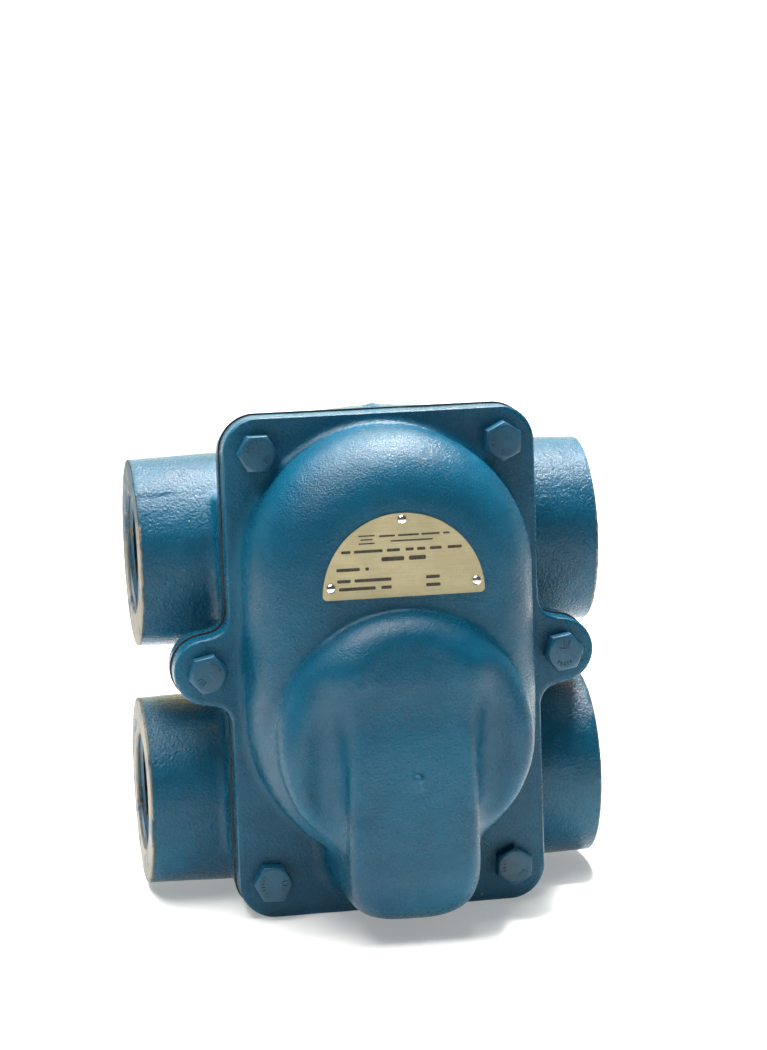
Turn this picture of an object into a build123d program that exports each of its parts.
from build123d import *
import os
from math import radians, sin, cos, tan, sqrt, atan2, degrees, hypot

os.makedirs("parts", exist_ok=True)

# Float and thermostatic steam trap, H pattern: two inlet tappings above, two
# outlet tappings below, and the whole mechanism hung on the front cover.
# Millimetres. +Z up, the cover faces -Y, +X is to the right seen from the
# front. The origin is on the floor, under the middle of the bounding box.

# ---------------------------------------------------------------- dimensions
# Depths are measured back from the cover flange's front face (y = 0 there),
# heights from the line of the two ear bolts (z = 0 there).
CHUTE_FACE = 59.0        # front-most face, ahead of the flange face
BODY_REAR = 107.0        # rear face, behind the flange face
FLOOR_DROP = 103.6       # flat bottom, below the ear bolts
YF = -(BODY_REAR - CHUTE_FACE) / 2.0   # flange face in the row frame
ZC = FLOOR_DROP                        # ear-bolt height in the row frame

# flanges
PLATE_W = 128.0
PLATE_TOP = 102.4
PLATE_R = 15.0
EAR_X = 73.4
EAR_R = 13.5
EAR_BLEND = 11.6
COVER_FLANGE = 12.4
GASKET_T = 1.6
BODY_FLANGE = 12.0
Y_CF = COVER_FLANGE                  # joint face of the cover
Y_BF = COVER_FLANGE + GASKET_T       # joint face of the body
Y_BB = Y_BF + BODY_FLANGE            # back of the body flange
CROWN_Z = 104.4                      # cast crown on the body flange's top

# cover bolts, 3/8 inch hexagon head
BOLT_X, BOLT_ZT, BOLT_ZB = 50.2, 88.3, -88.3
BOLT_R = 4.76
BOLT_AF = 14.29
BOLT_HEAD = 6.35
BOLT_LEN = 25.0
BOLT_CLEAR_R = 5.2
TAP_R = 4.79
BOLTS = [(-BOLT_X, BOLT_ZT, -0.5), (BOLT_X, BOLT_ZT, 26.7), (-EAR_X, 0.0, 12.0),
         (EAR_X, 0.0, 9.0), (-BOLT_X, BOLT_ZB, -2.0), (BOLT_X, BOLT_ZB, 27.0)]

# float dome on the cover: a stadium
DOME_R = 58.0
DOME_ZT, DOME_ZB = 39.5, -20.0       # centres of its round ends
DOME_FACE = 43.0
DOME_ROUND = 26.0
DOME_DRAFT = 1.5
# discharge dome and chute
DISC_R = 51.0
DISC_Z = -23.5
DISC_FACE = 57.0
DISC_ROUND = 14.0
CHUTE_W = 28.5                       # half width at the flange
CHUTE_BOTTOM = -97.5
CHUTE_DRAFT = 3.0
CHUTE_ELBOW = 23.0
CHUTE_FOOT_R = 13.0                  # round of the two lower corners, seen from the front

# chambers
CAV_R = 50.0                         # float chamber, round ends
CAV_ZT, CAV_ZB = 39.5, -17.0
CAV_FACE = 31.0                      # chamber side of the seat wall
SEAT_WALL = 7.0
DISCH_R = 43.0
DISCH_FACE = 50.0
PORT_W = 19.0                        # half width of the return port
PORT_Z0, PORT_Z1 = -91.0, -73.0
PIT_BACK = 34.0                      # back of the low front part of the chamber
FLOAT_FLOOR = -28.0
CHAMBER_BACK = 97.0

# hubs, tapped 1-1/2 inch pipe thread
HUB_X = 95.85
HUB_Y = 65.9
HUB_ZU, HUB_ZL = 40.9, -61.2
HUB_R = 39.35
HUB_ROOT_R = 40.3
TAPPING_R = 23.3
TAPPING_L = 26.0
WAY_R = 20.5
SHELL_W = 62.0                       # half width of the body's shell
SHELL_TOP = 98.0

# nameplate
TAG_X, TAG_Z0, TAG_Z1, TAG_W = 0.5, 33.7, 66.8, 32.4
TAG_T = 0.8
TAG_SCREWS = [(-28.5, 38.4), (29.5, 38.4), (0.5, 64.2)]

# float mechanism
PIVOT_Y, PIVOT_Z = -12.0, -14.0
PIN_R = 2.5
PIN_HALF = 14.2
BR_SX = 17.0                         # bracket screws, from the middle plane
EAR_IN, EAR_OUT = 9.0, 12.0          # bracket cheeks, from the middle plane
SIDE_IN, SIDE_OUT = 6.0, 8.5         # lever side plates
BALL_R = 35.0
BALL_Y, BALL_Z = 50.0, 12.0
BALL_WALL = 0.9
SEAT_Z = -34.0
VALVE_R = 8.0
ORIFICE_R = 5.5
# air vent
VENT_Z = 10.0
CAPS_R = 15.0
RUN = 0.02                           # assembly clearance on radii


def front(y, x=0.0, z=0.0):
    """Plane facing the viewer, y behind the flange face; local y is up."""
    return Plane(origin=(x, YF + y, ZC + z), x_dir=(1, 0, 0), z_dir=(0, -1, 0))


def side(x, y=0.0, z=0.0):
    """Plane facing +X; local x runs to the rear, local y up."""
    return Plane(origin=(x, YF + y, ZC + z), x_dir=(0, 1, 0), z_dir=(1, 0, 0))


def level(z, x=0.0, y=0.0):
    """Horizontal plane at height z; local x is X, local y runs to the rear."""
    return Plane(origin=(x, YF + y, ZC + z), x_dir=(1, 0, 0), z_dir=(0, 0, 1))


def axis_x(y, z):
    return Axis((0, YF + y, ZC + z), (1, 0, 0))


def axis_y(x, z):
    return Axis((x, YF, ZC + z), (0, 1, 0))


def flange_outline(sk):
    """Rounded plate with two blended ears, drawn in the active sketch."""
    with Locations((0, (PLATE_TOP - FLOOR_DROP) / 2)):
        RectangleRounded(PLATE_W, PLATE_TOP + FLOOR_DROP, PLATE_R)
    with Locations((-EAR_X, 0), (EAR_X, 0)):
        Circle(EAR_R)
    necks = [v for v in sk.vertices()
             if abs(abs(v.X) - PLATE_W / 2) < 0.01 and abs(v.Y) < EAR_R]
    fillet(necks, EAR_BLEND)


def dome_mid(r, h):
    """Middle point of a domed head's profile: radius r, height h, centre on axis."""
    rs = (r * r + h * h) / (2 * h)
    a = atan2(r, rs - h) / 2
    return rs * sin(a), h - rs * (1 - cos(a))


def stadium(r, zt, zb):
    """Upright stadium with round ends centred at heights zt and zb."""
    with Locations((0, (zt + zb) / 2)):
        SlotCenterToCenter(zt - zb, 2 * r, rotation=90)


def ring_profile(points):
    """Closed profile in the active sketch from (x, y) points."""
    Polygon(*points, align=None)


# ---------------------------------------------------------------- trap_body
with BuildPart() as trap_body:
    with BuildSketch(front(Y_BF)) as s:
        flange_outline(s)
    extrude(amount=-BODY_FLANGE)
    # shell behind the flange, flat bottom to stand on
    with BuildSketch(front(Y_BF)) as s:
        with Locations((0, (SHELL_TOP - FLOOR_DROP) / 2)):
            Rectangle(2 * SHELL_W, SHELL_TOP + FLOOR_DROP)
        fillet(s.vertices().group_by(Axis.Y)[-1], 50.0)
        fillet(s.vertices().group_by(Axis.Y)[0], 20.0)
    extrude(amount=-(BODY_REAR - Y_BF))
    fillet(trap_body.faces().sort_by(Axis.Y)[-1].edges(), 18.0)
    # cast crown with a small gate stub on the top edge of the flange
    with BuildSketch(front(Y_BF)):
        with BuildLine():
            ThreePointArc((-30, PLATE_TOP - 0.5), (0, CROWN_Z), (30, PLATE_TOP - 0.5))
            Line((30, PLATE_TOP - 0.5), (-30, PLATE_TOP - 0.5))
        make_face()
    extrude(amount=-BODY_FLANGE)
    # four tapped hubs, as two drafted barrels through the shell
    for hz in (HUB_ZU, HUB_ZL):
        with BuildSketch(level(hz, y=HUB_Y)):
            ring_profile([(-HUB_X, 0), (-HUB_X, HUB_R - 1), (-HUB_X + 1, HUB_R),
                          (-SHELL_W + 3, HUB_ROOT_R), (SHELL_W - 3, HUB_ROOT_R),
                          (HUB_X - 1, HUB_R), (HUB_X, HUB_R - 1), (HUB_X, 0)])
        revolve(axis=axis_x(HUB_Y, hz))
    # float chamber: deep part behind the flange, and the raised floor behind it
    with BuildSketch(front(Y_BF)):
        stadium(CAV_R, CAV_ZT, CAV_ZB)
    extrude(amount=-(PIT_BACK - Y_BF), mode=Mode.SUBTRACT)
    with BuildSketch(front(Y_BF)) as s:
        with Locations((0, (CAV_ZT + FLOAT_FLOOR) / 2)):
            Rectangle(2 * CAV_R, CAV_ZT - FLOAT_FLOOR)
        fillet(s.vertices().group_by(Axis.Y)[0], 14.0)
        with Locations((0, CAV_ZT)):
            Circle(CAV_R)
    extrude(amount=-(CHAMBER_BACK - Y_BF), mode=Mode.SUBTRACT)
    # inlet and outlet ways with their pipe tappings
    for hz in (HUB_ZU, HUB_ZL):
        with BuildSketch(level(hz, y=HUB_Y)):
            ring_profile([(-HUB_X, 0), (-HUB_X, TAPPING_R), (-HUB_X + TAPPING_L, TAPPING_R),
                          (-HUB_X + TAPPING_L, WAY_R), (HUB_X - TAPPING_L, WAY_R),
                          (HUB_X - TAPPING_L, TAPPING_R), (HUB_X, TAPPING_R), (HUB_X, 0)])
        revolve(axis=axis_x(HUB_Y, hz), mode=Mode.SUBTRACT)
    # return port from the cover's chute into the outlet way
    with BuildSketch(front(Y_BF)):
        with Locations((0, (PORT_Z0 + PORT_Z1) / 2)):
            RectangleRounded(2 * PORT_W, PORT_Z1 - PORT_Z0, 5.0)
    extrude(amount=-(HUB_Y - Y_BF), mode=Mode.SUBTRACT)
    # tapped bolt holes
    with BuildSketch(front(Y_BF)):
        with Locations(*[(x, z) for x, z, a in BOLTS]):
            Circle(TAP_R)
    extrude(amount=-(BODY_FLANGE + 1.5), mode=Mode.SUBTRACT)
trap_body.part.label = "trap_body"
export_step(trap_body.part, "parts/trap_body.step")

# ---------------------------------------------------------------- cover
with BuildPart() as cover:
    with BuildSketch(front(Y_CF)) as s:
        flange_outline(s)
    extrude(amount=COVER_FLANGE)
    fillet(cover.faces().sort_by(Axis.Y)[0].edges(), 2.6)
    # float dome
    with BuildSketch(front(2.0)):
        stadium(DOME_R, DOME_ZT, DOME_ZB)
    extrude(amount=DOME_FACE + 2.0, taper=DOME_DRAFT)
    fillet(cover.faces().sort_by(Axis.Y)[0].edges(), DOME_ROUND)
    # round discharge dome on its lower half
    with BuildSketch(level(DISC_Z)):
        r0, f, q = DISC_R, DISC_FACE, DISC_ROUND
        k = q * (1 - cos(radians(45)))
        with BuildLine():
            Line((0, -20.0), (r0 + 0.7, -20.0))
            Line((r0 + 0.7, -20.0), (r0, -(f - q)))
            ThreePointArc((r0, -(f - q)), (r0 - k, -(f - k)), (r0 - q, -f))
            Line((r0 - q, -f), (0, -f))
            Line((0, -f), (0, -20.0))
        make_face()
    revolve(axis=axis_y(0, DISC_Z))
    # chute from the discharge dome to the foot of the flange
    with BuildSketch(side(-CHUTE_W)):
        w = CHUTE_ELBOW
        k = w * (1 - cos(radians(45)))
        with BuildLine():
            Line((2.0, -20.0), (-CHUTE_FACE, -20.0))
            Line((-CHUTE_FACE, -20.0), (-CHUTE_FACE, CHUTE_BOTTOM + w))
            ThreePointArc((-CHUTE_FACE, CHUTE_BOTTOM + w),
                          (-CHUTE_FACE + k, CHUTE_BOTTOM + k),
                          (-CHUTE_FACE + w, CHUTE_BOTTOM))
            Line((-CHUTE_FACE + w, CHUTE_BOTTOM), (2.0, CHUTE_BOTTOM))
            Line((2.0, CHUTE_BOTTOM), (2.0, -20.0))
        make_face()
    extrude(amount=2 * CHUTE_W)
    # draft on the chute's two sides
    for sgn in (-1, 1):
        with BuildSketch(level(CHUTE_BOTTOM - 1.0)):
            dx = (CHUTE_FACE) * tan(radians(CHUTE_DRAFT))
            ring_profile([(sgn * CHUTE_W, 0.0), (sgn * (CHUTE_W + 3), 0.0),
                          (sgn * (CHUTE_W + 3), -CHUTE_FACE - 2),
                          (sgn * (CHUTE_W - dx), -CHUTE_FACE - 2),
                          (sgn * (CHUTE_W - dx), -CHUTE_FACE)])
        extrude(amount=24.0, mode=Mode.SUBTRACT)
    # round the foot's two corners
    for sgn in (-1, 1):
        cx = sgn * (CHUTE_W - CHUTE_FOOT_R)
        cz = CHUTE_BOTTOM + CHUTE_FOOT_R
        ax, az = sgn * (CHUTE_W + 3.0), CHUTE_BOTTOM - 2.0
        k = CHUTE_FOOT_R * sqrt(0.5)
        with BuildSketch(front(-0.01)):
            with BuildLine():
                Line((cx, CHUTE_BOTTOM), (cx, az))
                Line((cx, az), (ax, az))
                Line((ax, az), (ax, cz))
                Line((ax, cz), (sgn * CHUTE_W, cz))
                ThreePointArc((sgn * CHUTE_W, cz), (cx + sgn * k, cz - k), (cx, CHUTE_BOTTOM))
            make_face()
        extrude(amount=CHUTE_FACE + 3.0, mode=Mode.SUBTRACT)
    # float chamber recess
    with BuildSketch(front(Y_CF)):
        stadium(CAV_R, CAV_ZT, CAV_ZB)
    extrude(amount=Y_CF + CAV_FACE, mode=Mode.SUBTRACT)
    # discharge chamber ahead of the seat wall, and its way down the chute
    with BuildSketch(front(-(CAV_FACE + SEAT_WALL))):
        with Locations((0, DISC_Z)):
            Circle(DISCH_R)
        with Locations((0, (DISC_Z + PORT_Z0) / 2)):
            Rectangle(2 * PORT_W, DISC_Z - PORT_Z0)
    extrude(amount=DISCH_FACE - CAV_FACE - SEAT_WALL, mode=Mode.SUBTRACT)
    with BuildSketch(front(Y_CF)):
        with Locations((0, (PORT_Z0 + PORT_Z1) / 2)):
            RectangleRounded(2 * PORT_W, PORT_Z1 - PORT_Z0, 5.0)
    extrude(amount=Y_CF + CAV_FACE + SEAT_WALL, mode=Mode.SUBTRACT)
    # holes: bolts, tag screws, seats, bracket and cage screws
    with BuildSketch(front(Y_CF)):
        with Locations(*[(x, z) for x, z, a in BOLTS]):
            Circle(BOLT_CLEAR_R)
    extrude(amount=COVER_FLANGE, mode=Mode.SUBTRACT)
    with BuildSketch(front(-DOME_FACE)):
        with Locations(*TAG_SCREWS):
            Circle(1.3)
    extrude(amount=-5.0, mode=Mode.SUBTRACT)
    with BuildSketch(front(-CAV_FACE)):
        with Locations((0, SEAT_Z)):
            Circle(9.0 + RUN)
        with Locations((0, VENT_Z)):
            Circle(6.0 + RUN)
    extrude(amount=SEAT_WALL, mode=Mode.SUBTRACT)
    with BuildSketch(front(-CAV_FACE)):
        with Locations((-BR_SX, -12), (BR_SX, -12)):
            Circle(2.5 + RUN)
        with Locations((-22.5, VENT_Z), (22.5, VENT_Z)):
            Circle(2.0 + RUN)
    extrude(amount=5.5, mode=Mode.SUBTRACT)
cover.part.label = "cover"
export_step(cover.part, "parts/cover.step")

# ---------------------------------------------------------------- cover_gasket
with BuildPart() as cover_gasket:
    with BuildSketch(front(Y_BF)) as s:
        flange_outline(s)
        offset(amount=-0.6)
        with Locations((0, (CAV_ZT + CAV_ZB) / 2)):
            SlotCenterToCenter(CAV_ZT - CAV_ZB, 2 * CAV_R, rotation=90, mode=Mode.SUBTRACT)
        with Locations((0, (PORT_Z0 + PORT_Z1) / 2)):
            RectangleRounded(2 * PORT_W, PORT_Z1 - PORT_Z0, 5.0, mode=Mode.SUBTRACT)
        with Locations(*[(x, z) for x, z, a in BOLTS]):
            Circle(BOLT_CLEAR_R, mode=Mode.SUBTRACT)
    extrude(amount=GASKET_T)
cover_gasket.part.label = "cover_gasket"
export_step(cover_gasket.part, "parts/cover_gasket.step")

# ---------------------------------------------------------------- cover_bolts
with BuildPart() as cover_bolts:
    for x, z, a in BOLTS:
        with BuildSketch(front(0.0)):
            with Locations((x, z)):
                RegularPolygon(BOLT_AF / 2, 6, major_radius=False, rotation=a)
        extrude(amount=BOLT_HEAD)
    # chamfered crowns of the heads
    for x, z, a in BOLTS:
        with BuildSketch(level(z, x=x)):
            ring_profile([(BOLT_AF / 2 - 0.6, -BOLT_HEAD), (BOLT_AF / 2 + 3, -BOLT_HEAD),
                          (BOLT_AF / 2 + 3, -BOLT_HEAD + 3.6 * tan(radians(28)))])
        revolve(axis=axis_y(x, z), mode=Mode.SUBTRACT)
    with BuildSketch(front(0.0)):
        with Locations(*[(x, z) for x, z, a in BOLTS]):
            Circle(BOLT_R)
    extrude(amount=-BOLT_LEN)
cover_bolts.part.label = "cover_bolts"
export_step(cover_bolts.part, "parts/cover_bolts.step")

# ---------------------------------------------------------------- nameplate
with BuildPart() as nameplate:
    with BuildSketch(front(-DOME_FACE)) as s:
        with BuildLine():
            ThreePointArc((TAG_X - TAG_W, TAG_Z0), (TAG_X, TAG_Z1), (TAG_X + TAG_W, TAG_Z0))
            Line((TAG_X + TAG_W, TAG_Z0), (TAG_X - TAG_W, TAG_Z0))
        make_face()
        fillet(s.vertices(), 2.0)
        with Locations(*TAG_SCREWS):
            Circle(1.3, mode=Mode.SUBTRACT)
    extrude(amount=TAG_T)
nameplate.part.label = "nameplate"
export_step(nameplate.part, "parts/nameplate.step")

with BuildPart() as nameplate_drive_screws:
    for x, z in TAG_SCREWS:
        f = DOME_FACE + TAG_T
        with BuildSketch(level(z, x=x)):
            with BuildLine():
                Line((0, -(f - 5.5)), (1.25, -(f - 5.5)))
                Line((1.25, -(f - 5.5)), (1.25, -f))
                Line((1.25, -f), (2.0, -f))
                mx, my = dome_mid(2.0, 1.4)
                ThreePointArc((2.0, -f), (mx, -(f + my)), (0, -(f + 1.4)))
                Line((0, -(f + 1.4)), (0, -(f - 5.5)))
            make_face()
        revolve(axis=axis_y(x, z))
nameplate_drive_screws.part.label = "nameplate_drive_screws"
export_step(nameplate_drive_screws.part, "parts/nameplate_drive_screws.step")

# ---------------------------------------------------------------- main valve seat
WALL_F = -(CAV_FACE + SEAT_WALL)     # discharge side of the seat wall
WALL_B = -CAV_FACE                   # float chamber side
with BuildPart() as valve_seat_gasket:
    with BuildSketch(front(WALL_B + 1.0)):
        with Locations((0, SEAT_Z)):
            Circle(11.6)
            Circle(9.0 + RUN, mode=Mode.SUBTRACT)
    extrude(amount=1.0)
valve_seat_gasket.part.label = "valve_seat_gasket"
export_step(valve_seat_gasket.part, "parts/valve_seat_gasket.step")

SEAT_FACE = WALL_B + 7.0             # y of the seating edge, -24
with BuildPart() as valve_seat:
    with BuildSketch(front(SEAT_FACE)):
        with Locations((0, SEAT_Z)):
            RegularPolygon(12.0, 6, major_radius=False, rotation=30)
    extrude(amount=6.0)
    with BuildSketch(front(WALL_B + 1.0)):
        with Locations((0, SEAT_Z)):
            Circle(9.0)
    extrude(amount=SEAT_WALL + 1.0)
    with BuildSketch(front(SEAT_FACE)):
        with Locations((0, SEAT_Z)):
            Circle(ORIFICE_R)
    extrude(amount=20.0, mode=Mode.SUBTRACT)
valve_seat.part.label = "valve_seat"
export_step(valve_seat.part, "parts/valve_seat.step")

# ---------------------------------------------------------------- lever bracket
BR_F = WALL_B + 3.0                  # back face of the bracket's base
with BuildPart() as lever_bracket:
    with BuildSketch(front(BR_F)):
        with Locations((0, -11.5)):
            RectangleRounded(44.0, 17.0, 3.0)
    extrude(amount=3.0)
    for x0 in (-EAR_OUT, EAR_IN):
        with BuildSketch(side(x0)):
            with BuildLine():
                Line((BR_F - 1, -20.0), (PIVOT_Y, -20.0))
                ThreePointArc((PIVOT_Y, -20.0), (PIVOT_Y + 6.0, PIVOT_Z), (PIVOT_Y, -8.0))
                Line((PIVOT_Y, -8.0), (BR_F - 1, -8.0))
                Line((BR_F - 1, -8.0), (BR_F - 1, -20.0))
            make_face()
        extrude(amount=EAR_OUT - EAR_IN)
    with BuildSketch(side(-20.0, y=PIVOT_Y, z=PIVOT_Z)):
        Circle(PIN_R + RUN)
    extrude(amount=40.0, mode=Mode.SUBTRACT)
    with BuildSketch(front(BR_F)):
        with Locations((-BR_SX, -12), (BR_SX, -12)):
            Circle(2.8)
    extrude(amount=3.0, mode=Mode.SUBTRACT)
lever_bracket.part.label = "lever_bracket"
export_step(lever_bracket.part, "parts/lever_bracket.step")

with BuildPart() as bracket_lock_washers:
    with BuildSketch(front(BR_F + 1.0)):
        with Locations((-BR_SX, -12), (BR_SX, -12)):
            Circle(4.4)
            Circle(2.6, mode=Mode.SUBTRACT)
    extrude(amount=1.0)
bracket_lock_washers.part.label = "bracket_lock_washers"
export_step(bracket_lock_washers.part, "parts/bracket_lock_washers.step")

with BuildPart() as bracket_screws:
    for x in (-BR_SX, BR_SX):
        with BuildSketch(front(BR_F + 4.5)):
            with Locations((x, -12)):
                RegularPolygon(4.0, 6, major_radius=False, rotation=10 * (x > 0))
        extrude(amount=3.5)
        with BuildSketch(front(BR_F + 1.0)):
            with Locations((x, -12)):
                Circle(2.5)
        extrude(amount=9.3)
bracket_screws.part.label = "bracket_screws"
export_step(bracket_screws.part, "parts/bracket_screws.step")

with BuildPart() as fulcrum_pin:
    with BuildSketch(side(-PIN_HALF, y=PIVOT_Y, z=PIVOT_Z)):
        Circle(PIN_R)
    extrude(amount=2 * PIN_HALF)
    chamfer(fulcrum_pin.edges().filter_by(GeomType.CIRCLE), 0.4)
fulcrum_pin.part.label = "fulcrum_pin"
export_step(fulcrum_pin.part, "parts/fulcrum_pin.step")

with BuildPart() as pin_clips:
    for x0 in (-EAR_OUT - 1.05, EAR_OUT + 0.05):
        with BuildSketch(side(x0, y=PIVOT_Y, z=PIVOT_Z)):
            Circle(4.6)
            Circle(PIN_R + RUN, mode=Mode.SUBTRACT)
            with Locations((0, -4.0)):
                Rectangle(2.6, 6.0, mode=Mode.SUBTRACT)
        extrude(amount=1.0)
pin_clips.part.label = "pin_clips"
export_step(pin_clips.part, "parts/pin_clips.step")

# ---------------------------------------------------------------- float lever
ARM_A = degrees(atan2(BALL_Z - PIVOT_Z, BALL_Y - PIVOT_Y))
ARM_L = hypot(BALL_Z - PIVOT_Z, BALL_Y - PIVOT_Y)
ca, sa = cos(radians(ARM_A)), sin(radians(ARM_A))


def arm(t, n):
    """Side-view point t along the arm from the pivot and n across it."""
    return (PIVOT_Y + t * ca - n * sa, PIVOT_Z + t * sa + n * ca)


def arm_plane(t):
    """Plane square to the arm at t from the pivot, facing the float."""
    y, z = arm(t, 0)
    return Plane(origin=(0, YF + y, ZC + z), x_dir=(1, 0, 0), z_dir=(0, ca, sa))


LUG_T0, LUG_T1 = 19.0, 22.5
with BuildPart() as float_lever:
    for x0 in (-SIDE_OUT, SIDE_IN):
        with BuildSketch(side(x0)):
            with Locations((PIVOT_Y, PIVOT_Z)):
                Circle(5.5)
            with BuildLine():
                Polyline(arm(0, 5.0), arm(LUG_T1, 6.5), arm(LUG_T1, -6.5), arm(3, -5.4),
                         (PIVOT_Y + 3.0, -40.0), (PIVOT_Y - 2.0, -40.0),
                         (PIVOT_Y - 2.0, PIVOT_Z), close=True)
            make_face()
        extrude(amount=SIDE_OUT - SIDE_IN)
    with BuildSketch(arm_plane(LUG_T0)):
        Rectangle(2 * SIDE_OUT, 13.0)
    extrude(amount=LUG_T1 - LUG_T0)
    with BuildSketch(front(PIVOT_Y + 2.0)):
        with Locations((0, -32.0)):
            RectangleRounded(2 * SIDE_OUT, 20.0, 2.0)
    extrude(amount=4.0)
    with BuildSketch(side(-20.0, y=PIVOT_Y, z=PIVOT_Z)):
        Circle(PIN_R + 0.05)
    extrude(amount=40.0, mode=Mode.SUBTRACT)
    with BuildSketch(front(PIVOT_Y + 2.0)):
        with Locations((0, SEAT_Z)):
            Circle(3.0 + RUN)
    extrude(amount=4.0, mode=Mode.SUBTRACT)
    with BuildSketch(arm_plane(LUG_T0)):
        Circle(3.0 + RUN)
    extrude(amount=LUG_T1 - LUG_T0, mode=Mode.SUBTRACT)
float_lever.part.label = "float_lever"
export_step(float_lever.part, "parts/float_lever.step")

VALVE_Y = SEAT_FACE + 6.05           # centre of the valve's ball nose
with BuildPart() as valve_head:
    k = VALVE_R * cos(radians(45))
    with BuildSketch(level(SEAT_Z)):
        with BuildLine():
            ThreePointArc((0, VALVE_Y - VALVE_R), (k, VALVE_Y - k), (VALVE_R, VALVE_Y))
            Polyline((VALVE_R, VALVE_Y), (VALVE_R, VALVE_Y + 1.6), (5.0, PIVOT_Y - 2.1),
                     (3.0, PIVOT_Y - 2.1), (3.0, PIVOT_Y + 6.0), (0, PIVOT_Y + 6.0))
            Line((0, PIVOT_Y + 6.0), (0, VALVE_Y - VALVE_R))
        make_face()
    revolve(axis=axis_y(0, SEAT_Z))
    with BuildSketch(side(-6.0, y=PIVOT_Y + 3.4, z=SEAT_Z)):
        Circle(0.82)
    extrude(amount=12.0, mode=Mode.SUBTRACT)
valve_head.part.label = "valve_head"
export_step(valve_head.part, "parts/valve_head.step")

with BuildPart() as valve_retaining_pin:
    with BuildSketch(side(-5.2, y=PIVOT_Y + 3.4, z=SEAT_Z)):
        Circle(0.8)
    extrude(amount=10.4)
valve_retaining_pin.part.label = "valve_retaining_pin"
export_step(valve_retaining_pin.part, "parts/valve_retaining_pin.step")

# ---------------------------------------------------------------- float ball
# two pressed half shells, butt welded on the plane square to the arm
STUD_R = 3.0


def half_shell_profile(sign, hole):
    """Half of the ball's wall, as a profile over the arm's axis (local x)."""
    ro, ri = BALL_R, BALL_R - BALL_WALL
    po = (sign * (ro ** 2 - hole ** 2) ** 0.5, hole)
    pi_ = (sign * (ri ** 2 - hole ** 2) ** 0.5, hole)
    c45 = cos(radians(45))
    with BuildLine() as wall:
        ThreePointArc(po, (sign * ro * c45, ro * c45), (0, ro))
        Line((0, ro), (0, ri))
        ThreePointArc((0, ri), (sign * ri * c45, ri * c45), pi_)
        Line(pi_, po)
    make_face(wall.edges())


BALL_PLANE = Plane(origin=(0, YF + BALL_Y, ZC + BALL_Z), x_dir=(0, ca, sa), z_dir=(1, 0, 0))
ARM_AXIS = Axis((0, YF + BALL_Y, ZC + BALL_Z), (0, ca, sa))
with BuildPart() as float_front_shell:
    with BuildSketch(BALL_PLANE):
        half_shell_profile(-1, STUD_R + 1.5)
    revolve(axis=ARM_AXIS)
float_front_shell.part.label = "float_front_shell"
export_step(float_front_shell.part, "parts/float_front_shell.step")

with BuildPart() as float_rear_shell:
    with BuildSketch(BALL_PLANE):
        half_shell_profile(1, 0.0)
    revolve(axis=ARM_AXIS)
float_rear_shell.part.label = "float_rear_shell"
export_step(float_rear_shell.part, "parts/float_rear_shell.step")

BALL_T = ARM_L - BALL_R              # where the ball's skin crosses the arm
with BuildPart() as float_stud:
    with BuildSketch(arm_plane(8.0)):
        Circle(STUD_R)
    extrude(amount=BALL_T - 8.0)
    with BuildSketch(arm_plane(BALL_T - 3.0)):
        Circle(6.0)
    extrude(amount=3.0 - 0.25)
    with BuildSketch(arm_plane(BALL_T - 1.0)):
        Circle(STUD_R + 1.45)
    extrude(amount=4.0)
float_stud.part.label = "float_stud"
export_step(float_stud.part, "parts/float_stud.step")

with BuildPart() as float_lock_washer:
    with BuildSketch(arm_plane(LUG_T0 - 1.3)):
        Circle(5.2)
        Circle(STUD_R + 0.1, mode=Mode.SUBTRACT)
    extrude(amount=1.3)
float_lock_washer.part.label = "float_lock_washer"
export_step(float_lock_washer.part, "parts/float_lock_washer.step")

with BuildPart() as float_lock_nut:
    with BuildSketch(arm_plane(LUG_T0 - 6.3)):
        RegularPolygon(5.0, 6, major_radius=False, rotation=30)
        Circle(STUD_R + RUN, mode=Mode.SUBTRACT)
    extrude(amount=5.0)
float_lock_nut.part.label = "float_lock_nut"
export_step(float_lock_nut.part, "parts/float_lock_nut.step")

# ---------------------------------------------------------------- air vent
with BuildPart() as vent_seat_gasket:
    with BuildSketch(front(WALL_B + 0.8)):
        with Locations((0, VENT_Z)):
            Circle(8.2)
            Circle(6.0 + RUN, mode=Mode.SUBTRACT)
    extrude(amount=0.8)
vent_seat_gasket.part.label = "vent_seat_gasket"
export_step(vent_seat_gasket.part, "parts/vent_seat_gasket.step")

VENT_FACE = WALL_B + 5.0             # -26
with BuildPart() as vent_seat:
    with BuildSketch(front(VENT_FACE)):
        with Locations((0, VENT_Z)):
            RegularPolygon(8.5, 6, major_radius=False)
    extrude(amount=4.2)
    with BuildSketch(front(WALL_B + 0.8)):
        with Locations((0, VENT_Z)):
            Circle(6.0)
    extrude(amount=SEAT_WALL + 0.8)
    with BuildSketch(front(VENT_FACE)):
        with Locations((0, VENT_Z)):
            Circle(3.0)
    extrude(amount=15.0, mode=Mode.SUBTRACT)
vent_seat.part.label = "vent_seat"
export_step(vent_seat.part, "parts/vent_seat.step")

CAP_F, CAP_B = -20.0, -13.6          # front and back of the capsule
CAP_M = (CAP_F + CAP_B) / 2
with BuildPart() as capsule_front_shell:
    with BuildSketch(level(VENT_Z)):
        ring_profile([(2.3, CAP_F), (10.0, CAP_F), (13.0, CAP_M - 0.6), (CAPS_R, CAP_M - 0.6),
                      (CAPS_R, CAP_M), (12.6, CAP_M), (9.7, CAP_F + 0.6), (2.3, CAP_F + 0.6)])
    revolve(axis=axis_y(0, VENT_Z))
capsule_front_shell.part.label = "capsule_front_shell"
export_step(capsule_front_shell.part, "parts/capsule_front_shell.step")

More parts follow.
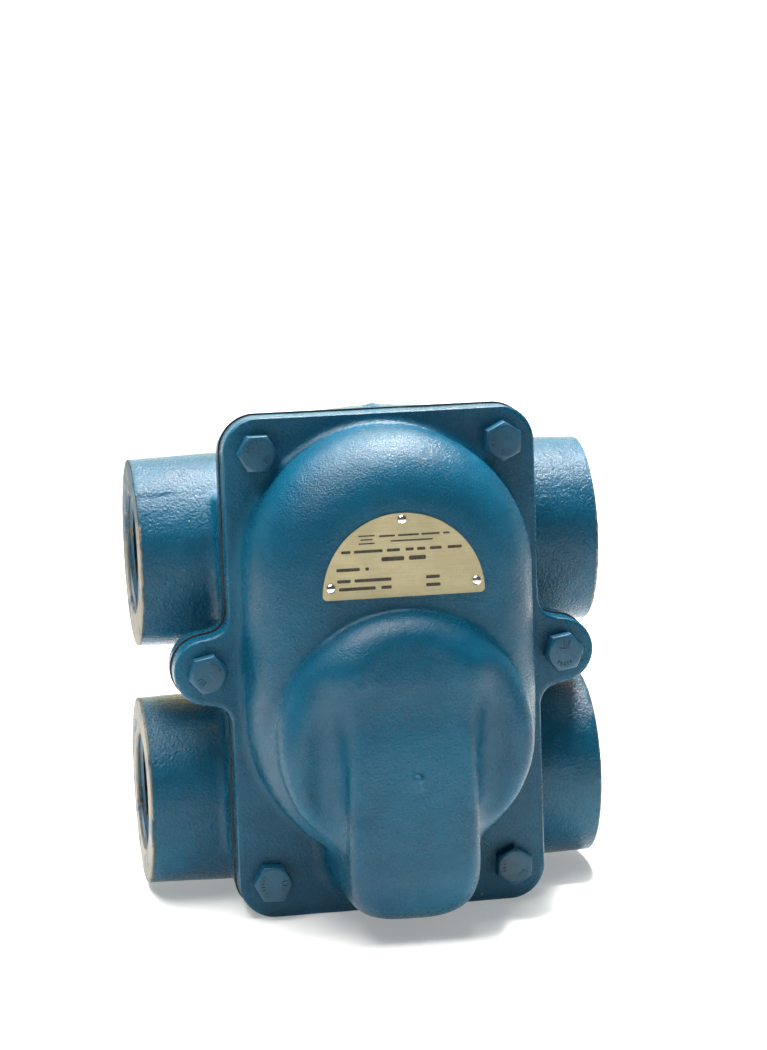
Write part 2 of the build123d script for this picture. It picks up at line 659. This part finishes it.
with BuildPart() as capsule_back_shell:
    with BuildSketch(level(VENT_Z)):
        ring_profile([(0, CAP_B + 2.6), (2.2, CAP_B + 2.6), (2.2, CAP_B), (10.0, CAP_B),
                      (13.0, CAP_M + 0.6), (CAPS_R, CAP_M + 0.6), (CAPS_R, CAP_M + 0.02),
                      (12.6, CAP_M + 0.02), (9.7, CAP_B - 0.6), (0, CAP_B - 0.6)])
    revolve(axis=axis_y(0, VENT_Z))
capsule_back_shell.part.label = "capsule_back_shell"
export_step(capsule_back_shell.part, "parts/capsule_back_shell.step")

with BuildPart() as vent_valve_pin:
    cy = VENT_FACE + 4.8             # nose centre, at rest 1.8 mm off its seat
    k = 4.0 * cos(radians(45))
    with BuildSketch(level(VENT_Z)):
        with BuildLine():
            ThreePointArc((0, cy - 4.0), (k, cy - k), (4.0, cy))
            Polyline((4.0, cy), (4.0, CAP_F - 0.3), (2.0, CAP_F - 0.3), (2.0, CAP_F + 3.4),
                     (0, CAP_F + 3.4))
            Line((0, CAP_F + 3.4), (0, cy - 4.0))
        make_face()
    revolve(axis=axis_y(0, VENT_Z))
vent_valve_pin.part.label = "vent_valve_pin"
export_step(vent_valve_pin.part, "parts/vent_valve_pin.step")

# strap that carries the capsule off the seat wall
with BuildPart() as vent_cage:
    with BuildSketch(level(VENT_Z - 6.0)):
        ring_profile([(-28, WALL_B), (-28, WALL_B + 1.4), (-18.6, WALL_B + 1.4),
                      (-18.6, CAP_B + 1.6), (18.6, CAP_B + 1.6), (18.6, WALL_B + 1.4),
                      (28, WALL_B + 1.4), (28, WALL_B), (17.2, WALL_B), (17.2, CAP_B + 0.1),
                      (-17.2, CAP_B + 0.1), (-17.2, WALL_B)])
    extrude(amount=12.0)
    with BuildSketch(front(CAP_B + 2.0)):
        with Locations((0, VENT_Z)):
            Circle(2.2 + RUN)
    extrude(amount=2.0, mode=Mode.SUBTRACT)
    with BuildSketch(front(WALL_B + 2.0)):
        with Locations((-22.5, VENT_Z), (22.5, VENT_Z)):
            Circle(2.2)
    extrude(amount=2.5, mode=Mode.SUBTRACT)
vent_cage.part.label = "vent_cage"
export_step(vent_cage.part, "parts/vent_cage.step")

with BuildPart() as vent_cage_screws:
    for x in (-22.5, 22.5):
        f = WALL_B + 1.4
        with BuildSketch(level(VENT_Z, x=x)):
            with BuildLine():
                Line((0, f - 6.5), (2.0, f - 6.5))
                Line((2.0, f - 6.5), (2.0, f))
                Line((2.0, f), (3.8, f))
                mx, my = dome_mid(3.8, 2.6)
                ThreePointArc((3.8, f), (mx, f + my), (0, f + 2.6))
                Line((0, f + 2.6), (0, f - 6.5))
            make_face()
        revolve(axis=axis_y(x, VENT_Z))
vent_cage_screws.part.label = "vent_cage_screws"
export_step(vent_cage_screws.part, "parts/vent_cage_screws.step")
